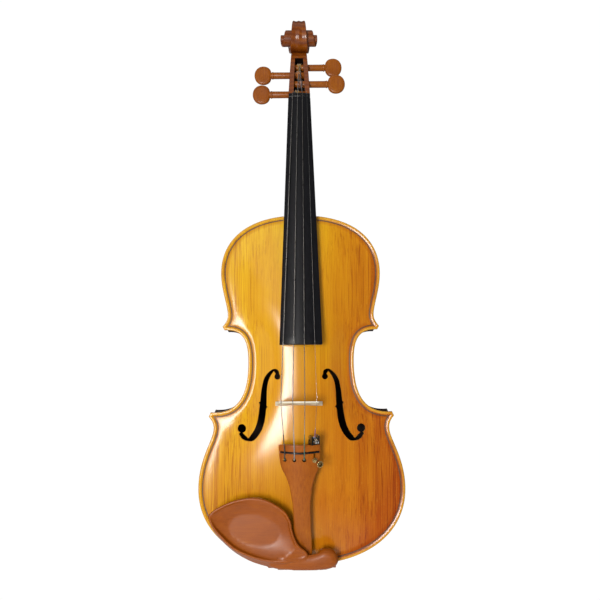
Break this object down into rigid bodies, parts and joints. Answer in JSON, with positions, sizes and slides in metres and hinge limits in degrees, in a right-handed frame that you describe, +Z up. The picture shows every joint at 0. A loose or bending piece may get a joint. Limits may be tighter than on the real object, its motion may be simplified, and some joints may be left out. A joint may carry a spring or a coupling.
{
  "type": "violin",
  "caption": "Full-size violin: arched hollow body with f-holes, scrolled neck, turning pegs, fingerboard, bridge, tailpiece with screw tuner, and clamp-on chin rest.",
  "frame": {"origin": "the throat under the scroll at the back of the pegbox, where a hanger or a hook holds the instrument", "axes": "+Z up the body from the tail to the scroll, the front (strings) towards -Y, +X to the treble side"},
  "size_m": [0.2076, 0.1112, 0.6034],
  "materials": {
    "spruce": "spruce under clear amber varnish, glossy",
    "maple_back": "figured maple under red-brown varnish, glossy",
    "maple_rib": "bent figured maple, varnished",
    "maple_neck": "carved maple, satin varnish",
    "inner_wood": "bare spruce and willow",
    "ebony": "oiled ebony",
    "boxwood": "stained boxwood, satin",
    "bridge_maple": "unvarnished quarter-cut maple",
    "purfling": "dark dyed strips",
    "steel": "nickel plated",
    "black_metal": "black lacquered",
    "brass": "polished",
    "string_metal": "wound and plain steel strings",
    "nylon": "black tail cord",
    "cork": "cork sheet, matte"
  },
  "bodies": {
    "body": {"back_plate": "maple_back", "bass_bar": "inner_wood", "bridge": "bridge_maple", "chin_rest": "boxwood", "chin_rest_cork_left": "cork", "chin_rest_cork_right": "cork", "clamp_bracket_upper": "steel", "corner_block_lower_left": "inner_wood", "corner_block_lower_right": "inner_wood", "corner_block_upper_left": "inner_wood", "corner_block_upper_right": "inner_wood", "end_block": "inner_wood", "end_pin": "boxwood", "fingerboard": "ebony", "lining_back_lower_left": "inner_wood", "lining_back_lower_right": "inner_wood", "lining_back_upper_left": "inner_wood", "lining_back_upper_right": "inner_wood", "lining_back_waist_left": "inner_wood", "lining_back_waist_right": "inner_wood", "lining_top_lower_left": "inner_wood", "lining_top_lower_right": "inner_wood", "lining_top_upper_left": "inner_wood", "lining_top_upper_right": "inner_wood", "lining_top_waist_left": "inner_wood", "lining_top_waist_right": "inner_wood", "neck_block": "inner_wood", "neck_scroll": "maple_neck", "nut": "ebony", "purfling_top": "purfling", "rib_lower": "maple_rib", "rib_upper_left": "maple_rib", "rib_upper_right": "maple_rib", "rib_waist_left": "maple_rib", "rib_waist_right": "maple_rib", "saddle": "ebony", "sound_post": "inner_wood", "string_a": "string_metal", "string_d": "string_metal", "string_e": "string_metal", "string_g": "string_metal", "tail_gut": "nylon", "tailpiece": "boxwood", "tailpiece_fret": "ebony", "top_plate": "spruce", "tuner_frame": "black_metal"},
    "peg_g": {"peg_g": "boxwood", "string_g_winding": "string_metal"},
    "peg_d": {"peg_d": "boxwood", "string_d_winding": "string_metal"},
    "peg_a": {"peg_a": "boxwood", "string_a_winding": "string_metal"},
    "peg_e": {"peg_e": "boxwood", "string_e_winding": "string_metal"},
    "tuner_screw": {"tuner_screw": "brass"},
    "tuner_knob": {"tuner_knob": "brass"},
    "tuner_lever": {"tuner_lever": "steel"},
    "clamp_barrel_left": {"clamp_barrel_left": "steel"},
    "clamp_barrel_right": {"clamp_barrel_right": "steel"},
    "clamp_bracket_lower": {"clamp_bracket_lower": "steel"}
  },
  "joints": [
    {"name": "peg_g_turn", "type": "hinge", "parent": "body", "child": "peg_g", "pos_m": [0, -0.0235, -0.057], "axis": [-1, 0, 0], "continuous": true},
    {"name": "peg_d_turn", "type": "hinge", "parent": "body", "child": "peg_d", "pos_m": [0, -0.0105, -0.028], "axis": [-1, 0, 0], "continuous": true},
    {"name": "peg_a_turn", "type": "hinge", "parent": "body", "child": "peg_a", "pos_m": [0, -0.004, -0.0155], "axis": [1, 0, 0], "continuous": true},
    {"name": "peg_e_turn", "type": "hinge", "parent": "body", "child": "peg_e", "pos_m": [0, -0.0172, -0.042], "axis": [1, 0, 0], "continuous": true},
    {"name": "tuner_screw_travel", "type": "slide", "parent": "body", "child": "tuner_screw", "axis": [0.3889, -0.9062, -0.1658], "range_m": [-0.003, 0.001]},
    {"name": "tuner_knob_turn", "type": "hinge", "parent": "tuner_screw", "child": "tuner_knob", "pos_m": [0.0123, -0.06587, -0.445], "axis": [0.3889, -0.9062, -0.1658], "range_deg": [-2160, 720]},
    {"name": "tuner_lever_tilt", "type": "hinge", "parent": "body", "child": "tuner_lever", "pos_m": [0.0123, -0.06965, -0.42434], "axis": [0.9213, 0.3825, 0.07], "range_deg": [-2.9, 8.4]},
    {"name": "clamp_barrel_left_turn", "type": "hinge", "parent": "body", "child": "clamp_barrel_left", "pos_m": [-0.02, -0.019, -0.5531], "axis": [0, 1, 0], "range_deg": [0, 1440]},
    {"name": "clamp_barrel_right_turn", "type": "hinge", "parent": "body", "child": "clamp_barrel_right", "pos_m": [0.02, -0.019, -0.5531], "axis": [0, 1, 0], "range_deg": [0, 1440]},
    {"name": "clamp_release", "type": "slide", "parent": "body", "child": "clamp_bracket_lower", "axis": [0, 1, 0], "range_m": [0, 0.004]}
  ],
  "couplings": [
    {"joint": "tuner_knob_turn", "follows": "tuner_screw_travel", "rad_per_m": 12566},
    {"joint": "tuner_lever_tilt", "follows": "tuner_screw_travel", "rad_per_m": -47.619},
    {"joint": "clamp_barrel_left_turn", "follows": "clamp_release", "rad_per_m": 6283.2},
    {"joint": "clamp_barrel_right_turn", "follows": "clamp_release", "rad_per_m": 6283.2}
  ]
}
